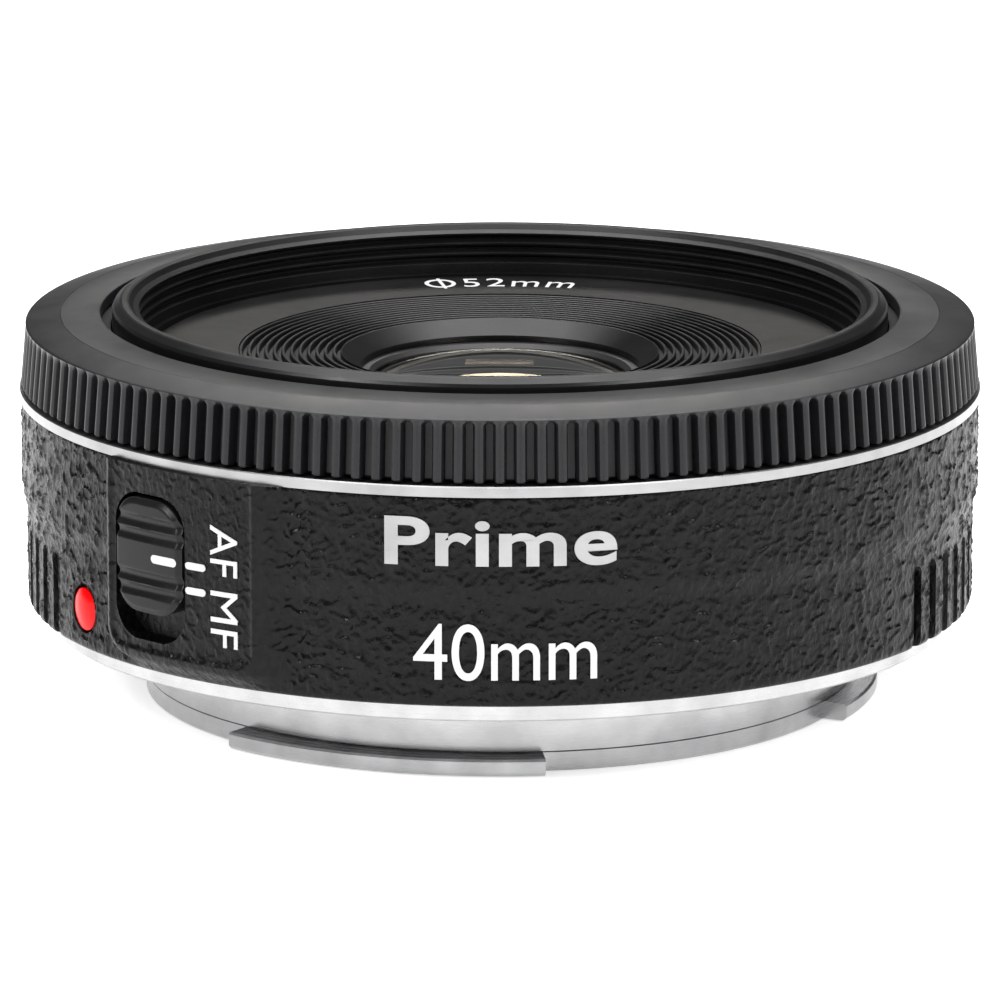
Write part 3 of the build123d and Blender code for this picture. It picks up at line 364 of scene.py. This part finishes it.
def barrel_radius(azimuths, z):
    """The outer radius with the pad, the switch's well, the dot's recess, the grip slots and the grain."""
    base = barrel_base(z)
    in_plateau = inside_pad(azimuths, z, PAD_LEFT_AZIMUTH + 0.5, PAD_RIGHT_AZIMUTH, PAD_LOW_Z, PAD_CORNER_R)
    in_foot = inside_pad(azimuths, z, PAD_LEFT_AZIMUTH, PAD_RAMP_AZIMUTH, PAD_FOOT_Z, PAD_FOOT_CORNER_R)
    climb = np.clip(in_foot / (np.maximum(in_foot, 0) + np.maximum(-in_plateau, 0) + 1e-6), 0, 1)
    raised = 0.25 * climb + 0.75 * smooth(climb)
    bead = np.exp(-((in_plateau - PAD_BEAD_INSET) / PAD_BEAD_WIDTH) ** 2)
    radius = base + (PAD_R - base) * raised + PAD_BEAD_HEIGHT * bead

    on_pad = smooth(in_plateau / 0.9)
    on_ramp = raised - on_pad
    in_slot = np.full(azimuths.shape, -1.0)
    arch_z = SLOT_TOP_Z - SLOT_W / 2
    for centre in SLOT_AZIMUTHS:
        off = arc_from(azimuths, centre, BARREL_LOW_R)
        in_slot = np.maximum(in_slot, SLOT_W / 2 - np.hypot(off, np.maximum(z - arch_z, 0)))
    in_well = inside_well(arc_from(azimuths, SWITCH_AZIMUTH, PAD_R), z)
    in_dot = inside_dot(arc_from(azimuths, DOT_AZIMUTH, PAD_R), z)

    grain = 1 - 0.45 * on_pad - 0.8 * on_ramp
    for inside in (in_slot, in_well, in_dot):
        grain = grain * smooth(-inside / 0.2)
    grain = grain * smooth((z - BARREL_LOW_Z) / 0.6)
    radius = radius - GRAIN_DEPTH * grain * (1 - leather_height(azimuths, z))
    for inside, floor_r in ((in_slot, SLOT_FLOOR_R), (in_well, WELL_FLOOR_R), (in_dot, DOT_FLOOR_R)):
        radius = radius - 0.06 * smooth(inside / 0.3 + 1)
        radius = radius + (floor_r - radius) * np.clip(inside / 0.13 + 0.5, 0, 1)
    return radius


def snapped(azimuths, z, centre, inside_of, band=0.07):
    """Move grid points within a band of an outline to the band's edge, so that a steep wall stays smooth."""
    x = arc_from(azimuths, centre, PAD_R)
    step = 0.01
    inside = inside_of(x, z)
    slope_x = (inside_of(x + step, z) - inside) / step
    slope_z = (inside_of(x, z + step) - inside) / step
    close = np.abs(inside) < band
    shift = np.where(close, np.where(inside >= 0, band, -band) - inside, 0.0)
    return azimuths + np.degrees(shift * slope_x / PAD_R), z + shift * slope_z


def inside_well(x, z):
    middle_z = (WELL_LOW_Z + WELL_HIGH_Z) / 2
    half_height = (WELL_HIGH_Z - WELL_LOW_Z) / 2
    return inside_rounded_box(x, z - middle_z, WELL_W / 2, half_height, WELL_CORNER_R)


def inside_dot(x, z):
    return DOT_RECESS_R - np.hypot(x, z - DOT_Z)


def build_barrel():
    columns = [np.arange(-180.0, 180.0, 0.28), np.arange(-64.0, -22.0, 0.12)]
    slot_edge = math.degrees(SLOT_W / 2 / BARREL_LOW_R)
    for centre in SLOT_AZIMUTHS:
        for edge in (-slot_edge, slot_edge):
            columns.append(centre + np.array([edge - 0.1, edge + 0.1]))
    azimuths = np.unique(np.round(np.concatenate(columns), 2))
    foot_rows = BARREL_LOW_Z + np.array([0.0, 0.04, 0.14, 0.28, 0.44])
    rows = np.concatenate([foot_rows, np.arange(FOOT_ROUND_Z, BARREL_TOP_Z - 0.05, 0.12), [BARREL_TOP_Z]])
    grid_az, grid_z = np.meshgrid(azimuths, rows)
    grid_az, grid_z = snapped(grid_az, grid_z, SWITCH_AZIMUTH, inside_well)
    grid_az, grid_z = snapped(grid_az, grid_z, DOT_AZIMUTH, inside_dot)
    outer = np.stack([barrel_radius(grid_az, grid_z), grid_z], axis=-1)
    inner = np.array(BARREL_BORE)[:, None, :] * np.ones((1, len(azimuths), 1))
    inner_az = np.ones((len(BARREL_BORE), 1)) * azimuths
    barrel = lathe_skin("barrel_skin", np.concatenate([grid_az, inner_az]), np.concatenate([outer, inner]))
    finish_piece(barrel, "barrel", MATERIALS["barrel_plastic"], math.radians(50))
    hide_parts("fixed_barrel")


# ---- Focus ring ----
RIB_COUNT, RIB_PITCH = 150, 2.4
RING_LOW_Z, RING_R = 17.0, 34.0
RIB_TOP_R, RIB_TOP_Z, RIB_ARCH_Z = 33.62, 21.3, 20.72
RIB_SLOT_W, RIB_SLOT_DEPTH = 0.74, 0.9
RING_CREASE_R, RING_CREASE_Z = 31.15, 21.85
RING_INNER_R, RING_TOP_Z, RING_BORE_R, RING_LIP_Z = 28.3, 22.0, 31.55, 21.2
SNAP_GROOVE_R, SNAP_GROOVE_LOW_Z, SNAP_GROOVE_HIGH_Z = 32.25, 19.3, 20.2


def build_focus_ring():
    """Ribs with rounded shoulders round the outer wall, under a soft cone and a flat collar."""
    across = np.array([-0.5, -0.4, -0.3, -0.24, -0.2, -0.17, -0.145, -0.12, -0.08, 0.0,
                       0.08, 0.12, 0.145, 0.17, 0.2, 0.24, 0.3, 0.4])
    azimuths = np.concatenate([(rib + 0.5 + across) * RIB_PITCH for rib in range(RIB_COUNT)])
    from_slot = np.abs(np.tile(across, RIB_COUNT)) * math.radians(RIB_PITCH) * RING_R
    rows = np.concatenate([[RING_LOW_Z, RING_LOW_Z + 0.12], np.linspace(17.4, RIB_ARCH_Z, 9),
                           RIB_ARCH_Z + np.array([0.1, 0.18, 0.26, 0.32, 0.37, 0.42, 0.5])])
    grid_slot, grid_z = np.meshgrid(from_slot, rows)
    wall = RING_R + (RIB_TOP_R - RING_R) * (grid_z - RING_LOW_Z) / (RIB_TOP_Z - RING_LOW_Z)
    wall = wall - 0.1 * (1 - smooth((grid_z - RING_LOW_Z) / 0.12))
    inside = RIB_SLOT_W / 2 - np.hypot(grid_slot, np.maximum(grid_z - RIB_ARCH_Z, 0))
    shoulder = 0.13 * smooth(inside / 0.34 + 1) ** 2
    outer_r = wall - shoulder - (RIB_SLOT_DEPTH - 0.13) * smooth(inside / 0.2 + 0.35)
    outer = np.stack([outer_r, grid_z], axis=-1)
    section = [
        (RIB_TOP_R + 0.02, RIB_TOP_Z - 0.04), (RIB_TOP_R - 0.03, RIB_TOP_Z + 0.02),
        (RIB_TOP_R - 0.14, RIB_TOP_Z + 0.06),
        (RING_CREASE_R + 0.03, RING_CREASE_Z - 0.005), (RING_CREASE_R, RING_CREASE_Z - 0.025),
        (RING_CREASE_R - 0.03, RING_CREASE_Z), (RING_INNER_R + 0.2, RING_TOP_Z),
        (RING_INNER_R + 0.06, RING_TOP_Z - 0.05), (RING_INNER_R, RING_TOP_Z - 0.2),
        (RING_INNER_R, RING_LIP_Z), (RING_BORE_R, RING_LIP_Z),
        (RING_BORE_R, SNAP_GROOVE_HIGH_Z), (SNAP_GROOVE_R, SNAP_GROOVE_HIGH_Z),
        (SNAP_GROOVE_R, SNAP_GROOVE_LOW_Z), (RING_BORE_R, SNAP_GROOVE_LOW_Z),
        (RING_BORE_R, RING_LOW_Z),
    ]
    rest = np.array(section)[:, None, :] * np.ones((1, len(azimuths), 1))
    ring = lathe_skin("focus_ring_skin", azimuths, np.concatenate([outer, rest]))
    finish_piece(ring, "focus_ring", MATERIALS["ring_plastic"])
    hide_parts("focus_ring")


# ---- Switch knob ----
KNOB_W, KNOB_LOW_Z, KNOB_HIGH_Z, KNOB_CORNER_R, KNOB_R = 6.5, 5.8, 13.85, 2.25, 34.95
KNOB_GROOVE_ZS = [7.4, 8.35, 11.3, 12.25]
# The underside is flat across, so its middle lies 0.15 mm deeper than its edges. It clears the well's floor.
KNOB_UNDERSIDE_R = WELL_FLOOR_R + 0.25


def rounded_outline(width, height, corner, corner_steps):
    """Points round a rounded rectangle, anticlockwise from the right side's lower corner."""
    points = []
    for turn_from, side_x, side_y in ((-90, 1, -1), (0, 1, 1), (90, -1, 1), (180, -1, -1)):
        for i in range(corner_steps + 1):
            turn = math.radians(turn_from + 90 * i / corner_steps)
            points.append((side_x * (width / 2 - corner) + corner * math.cos(turn),
                           side_y * (height / 2 - corner) + corner * math.sin(turn)))
    return points


def spaced_outline(points, spacing):
    """The same outline with points added along its straight sides."""
    spaced = []
    for start, end in zip(points, points[1:] + points[:1]):
        steps = max(1, round(math.dist(start, end) / spacing))
        spaced += [(start[0] + (end[0] - start[0]) * i / steps, start[1] + (end[1] - start[1]) * i / steps)
                   for i in range(steps)]
    return spaced


def knob_face_radius(x, z):
    """A flat plateau with two shallow hollows above and below, and a rolled edge."""
    middle_z = (KNOB_LOW_Z + KNOB_HIGH_Z) / 2
    inside = inside_rounded_box(x, z - middle_z, KNOB_W / 2, (KNOB_HIGH_Z - KNOB_LOW_Z) / 2, KNOB_CORNER_R)
    radius = KNOB_R - 0.25 * (1 - smooth(inside / 0.45))
    for groove_z in KNOB_GROOVE_ZS:
        radius = radius - 0.24 * np.cos(np.clip((z - groove_z) / 0.46, -1, 1) * np.pi / 2)
    return radius


def build_knob():
    """The slider's cap: rings of points shrinking from its outline to its middle, over a straight skirt."""
    middle_z = (KNOB_LOW_Z + KNOB_HIGH_Z) / 2
    outline = np.array(spaced_outline(
        rounded_outline(KNOB_W, KNOB_HIGH_Z - KNOB_LOW_Z, KNOB_CORNER_R, 12), 0.12))
    shares = np.concatenate([[1.0, 0.985, 0.97, 0.95, 0.92], np.linspace(0.89, 0.02, 56)])
    rings = [(outline, np.full(len(outline), KNOB_UNDERSIDE_R))]
    for share in shares:
        ring = outline * share
        rings.append((ring, knob_face_radius(ring[:, 0], ring[:, 1] + middle_z)))
    count = len(outline)
    verts = []
    for ring, radius in rings:
        turn = np.radians(SWITCH_AZIMUTH) + ring[:, 0] / KNOB_R
        z = ring[:, 1] + middle_z
        verts.append(np.stack([radius * np.sin(turn), -radius * np.cos(turn), z], axis=-1) * MM)
    faces = [(ring * count + i, ring * count + (i + 1) % count, (ring + 1) * count + (i + 1) % count,
              (ring + 1) * count + i) for ring in range(len(rings) - 1) for i in range(count)]
    faces += [tuple(range((len(rings) - 1) * count, len(rings) * count)), tuple(reversed(range(count)))]
    knob = new_object("switch_knob_skin", np.concatenate(verts).tolist(), faces)
    finish_piece(knob, "switch_knob", MATERIALS["knob_plastic"])
    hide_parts("switch_knob")


# ---- Lettering ----
def letters(text, width, height, thickness, bold=0.0, spacing=1.0):
    """Flat letters stretched to a width and height in millimetres, middle at the origin, front at z 0."""
    curve = bpy.data.curves.new(text, "FONT")
    curve.body = text
    curve.extrude = 0.5
    curve.offset = bold
    curve.space_character = spacing
    source = bpy.data.objects.new(text, curve)
    bpy.context.scene.collection.objects.link(source)
    bpy.context.view_layer.update()
    mesh = bpy.data.meshes.new_from_object(source.evaluated_get(bpy.context.evaluated_depsgraph_get()))
    bpy.data.objects.remove(source)
    points = np.array([v.co[:] for v in mesh.vertices])
    low, high = points.min(axis=0), points.max(axis=0)
    points = (points - (low + high) / 2) * (np.array([width, height, thickness]) / (high - low))
    points[:, 2] -= thickness / 2
    for vertex, point in zip(mesh.vertices, points.tolist()):
        vertex.co = point
    return mesh


def cut_every(mesh, step, span):
    """Cut a mesh across x at each step, so that it can follow a curved wall."""
    work = bmesh.new()
    work.from_mesh(mesh)
    bmesh.ops.remove_doubles(work, verts=work.verts, dist=1e-4)
    bmesh.ops.triangulate(work, faces=work.faces)
    for x in np.arange(-span / 2 + step / 2, span / 2, step):
        geometry = work.verts[:] + work.edges[:] + work.faces[:]
        bmesh.ops.bisect_plane(work, geom=geometry, plane_co=(x, 0, 0), plane_no=(1, 0, 0))
    work.to_mesh(mesh)
    work.free()


def wrap(name, mesh, azimuth, z, radius, turned=0.0):
    """Bend flat letters round the barrel, after turning them in their own plane."""
    obj = bpy.data.objects.new(name, mesh)
    bpy.context.scene.collection.objects.link(obj)
    mesh.transform(Matrix.Rotation(math.radians(turned), 4, "Z"))
    spread = max(abs(v.co.x) for v in mesh.vertices) * 2
    cut_every(mesh, 0.8, spread)
    for vertex in mesh.vertices:
        x, y, out = vertex.co
        vertex.co = on_circle(radius + out, azimuth + math.degrees(x / radius), z + y)
    return obj


PRINT_T, PRINT_LIFT = 0.08, 0.012
FOCAL_LENGTH_AZIMUTH, FOCAL_LENGTH_Z = 0.6, 5.2
WORD_AZIMUTH, WORD_Z, WORD_T, WORD_LIFT = 0.1, 12.95, 0.22, 0.015
MODE_AZIMUTH, TICK_AZIMUTH, KNOB_LINE_AZIMUTH = -32.85, -36.85, -41.25
TICK_ZS, KNOB_LINE_Z = (9.75, 8.0), 9.8


def build_lettering():
    focal_length = wrap("focal_length", letters("40mm", 12.55, 3.95, PRINT_T), FOCAL_LENGTH_AZIMUTH,
                        FOCAL_LENGTH_Z, BARREL_LOW_R + PRINT_LIFT)
    finish_piece(focal_length, "barrel", PRINT_WHITE)
    word = wrap("raised_word", letters("Prime", 15.9, 3.4, WORD_T, bold=0.022, spacing=1.05), WORD_AZIMUTH,
                WORD_Z, BARREL_R + WORD_LIFT)
    finish_piece(word, "barrel", MATERIALS["trim_silver"])
    for text, width, z in (("AF", 3.5, 11.15), ("MF", 3.9, 6.35)):
        mesh = letters(text, width, 2.2, PRINT_T)
        mode = wrap(text.lower(), mesh, MODE_AZIMUTH, z, PAD_R + PRINT_LIFT, turned=-90.0)
        finish_piece(mode, "barrel", PRINT_WHITE)
    for number, z in enumerate(TICK_ZS, start=1):
        tick = wrap(f"mode_tick_{number}", bar(1.75, 0.5, PRINT_T), TICK_AZIMUTH, z, PAD_R + PRINT_LIFT)
        finish_piece(tick, "barrel", PRINT_WHITE)
    line = wrap("knob_line", bar(2.35, 0.6, PRINT_T), KNOB_LINE_AZIMUTH, KNOB_LINE_Z, KNOB_R + 0.004)
    finish_piece(line, "switch_knob", PRINT_WHITE)


def bar(length, width, thickness):
    """A printed line with rounded ends, middle at the origin, front at z 0."""
    steps = 8
    outline = []
    for side in (1, -1):
        for i in range(steps + 1):
            turn = math.radians(-90 + 180 * i / steps)
            x = (length - width) / 2 + width / 2 * math.cos(turn)
            y = width / 2 * math.sin(turn)
            outline.append((side * x, side * y))
    count = len(outline)
    verts = [(x, y, 0.0) for x, y in outline] + [(x, y, -thickness) for x, y in outline]
    faces = [tuple(range(count)), tuple(reversed(range(count, 2 * count)))]
    faces += [(i, i + count, (i + 1) % count + count, (i + 1) % count) for i in range(count)]
    mesh = bpy.data.meshes.new("bar")
    mesh.from_pydata(verts, [], faces)
    return mesh


NAME_RING_R_IN, NAME_RING_R_OUT, NAME_RING_Z, NAME_RING_DISH = 18.57, 24.5, 19.2, 0.08
MARKING_R, SIGN_RING_HALF_W = 22.3, 1.25


def build_thread_marking():
    """The filter size on the name ring. Its diameter sign is a letter O with an upright stroke through it."""
    width, height, print_t = 11.1, 2.7, 0.04
    mesh = letters("O52mm", width, height, print_t, spacing=1.15)
    stroke = bar(3.4, 0.26, print_t)
    ring_centre = Matrix.Translation((-width / 2 + SIGN_RING_HALF_W, 0, 0))
    stroke.transform(ring_centre @ Matrix.Rotation(math.radians(90), 4, "Z"))
    for name, mesh in (("thread_marking", mesh), ("thread_marking_stroke", stroke)):
        lay_on_name_ring(name, mesh)


def lay_on_name_ring(name, mesh):
    """Bend flat letters round the name ring's side away from the barrel's word, following its dish."""
    obj = bpy.data.objects.new(name, mesh)
    bpy.context.scene.collection.objects.link(obj)
    cut_every(mesh, 0.8, 12.0)
    for vertex in mesh.vertices:
        x, y, up = vertex.co
        radius = MARKING_R + y
        share_inwards = (NAME_RING_R_OUT - radius) / (NAME_RING_R_OUT - NAME_RING_R_IN)
        dish_z = NAME_RING_Z - NAME_RING_DISH * share_inwards
        vertex.co = on_circle(radius, 180.0 - math.degrees(x / MARKING_R), dish_z + 0.015 + up)
    finish_piece(obj, "lens_group", PRINT_WHITE)


build_barrel()
build_focus_ring()
build_knob()
build_lettering()
build_thread_marking()

# ---- Studio ----
FLOOR_Z = cad_box[0][2]
CAMERA_DISTANCE = 0.640
CAMERA_ELEVATION = 12.95
AIM_Z = 7.97 * MM
TURN_CENTRE_Z = 10.0 * MM
FOCAL_LENGTH = 323.4


def aim(obj, target):
    obj.rotation_euler = (Vector(target) - obj.location).to_track_quat("-Z", "Y").to_euler()


def add_camera():
    data = bpy.data.cameras.new("camera")
    data.lens = FOCAL_LENGTH
    data.sensor_width = 36.0
    data.clip_start = 0.01
    data.clip_end = 20.0
    camera = bpy.data.objects.new("camera", data)
    bpy.context.scene.collection.objects.link(camera)
    tilt = math.radians(CAMERA_ELEVATION)
    height = TURN_CENTRE_Z + CAMERA_DISTANCE * math.sin(tilt)
    camera.location = (0.0, -CAMERA_DISTANCE * math.cos(tilt), height)
    aim(camera, (0.0, 0.0, AIM_Z))
    bpy.context.scene.camera = camera


def add_softbox(name, place, target, size, power, color=(1.0, 1.0, 1.0)):
    data = bpy.data.lights.new(name, "AREA")
    data.shape = "RECTANGLE"
    data.size, data.size_y = size
    data.energy = power
    data.color = color
    light = bpy.data.objects.new(name, data)
    bpy.context.scene.collection.objects.link(light)
    light.location = place
    light.visible_camera = False
    aim(light, target)


def add_floor():
    size = 6.0
    mesh = bpy.data.meshes.new("floor")
    corners = [(-size, -size, FLOOR_Z), (size, -size, FLOOR_Z), (size, size, FLOOR_Z), (-size, size, FLOOR_Z)]
    mesh.from_pydata(corners, [], [(0, 1, 2, 3)])
    floor = bpy.data.objects.new("floor", mesh)
    bpy.context.scene.collection.objects.link(floor)
    s = Shader("floor_paper", (0.9, 0.9, 0.9), 0.9)
    mottling = s.noise(s.coords, 40.0, 3.0)
    s.drive("Base Color", s.colors(mottling, (0.89, 0.89, 0.89), (0.91, 0.91, 0.91)))
    s.set(emission_color=(1.0, 1.0, 1.0, 1.0), emission_strength=0.5)
    mesh.materials.append(s.material)


def add_world():
    world = bpy.data.worlds.new("studio")
    world.use_nodes = True
    world.node_tree.nodes["Background"].inputs["Color"].default_value = (1.0, 1.0, 1.0, 1.0)
    world.node_tree.nodes["Background"].inputs["Strength"].default_value = 0.08
    bpy.context.scene.world = world


add_camera()
add_world()
add_floor()
add_softbox("key_top", (0.0, 0.15, 0.85), (0, 0, 0), (0.9, 0.8), 13.0)
add_softbox("front_left", (-0.55, -0.46, 0.5), (0, 0, 0.01), (0.2, 0.2), 4.5)
add_softbox("front_right", (0.55, -0.46, 0.5), (0, 0, 0.01), (0.2, 0.2), 4.5)
add_softbox("behind", (0.0, 0.75, 0.5), (0, 0, 0.018), (0.3, 0.12), 0.9, (1.0, 0.98, 0.94))
bpy.context.scene.view_settings.view_transform = "Standard"
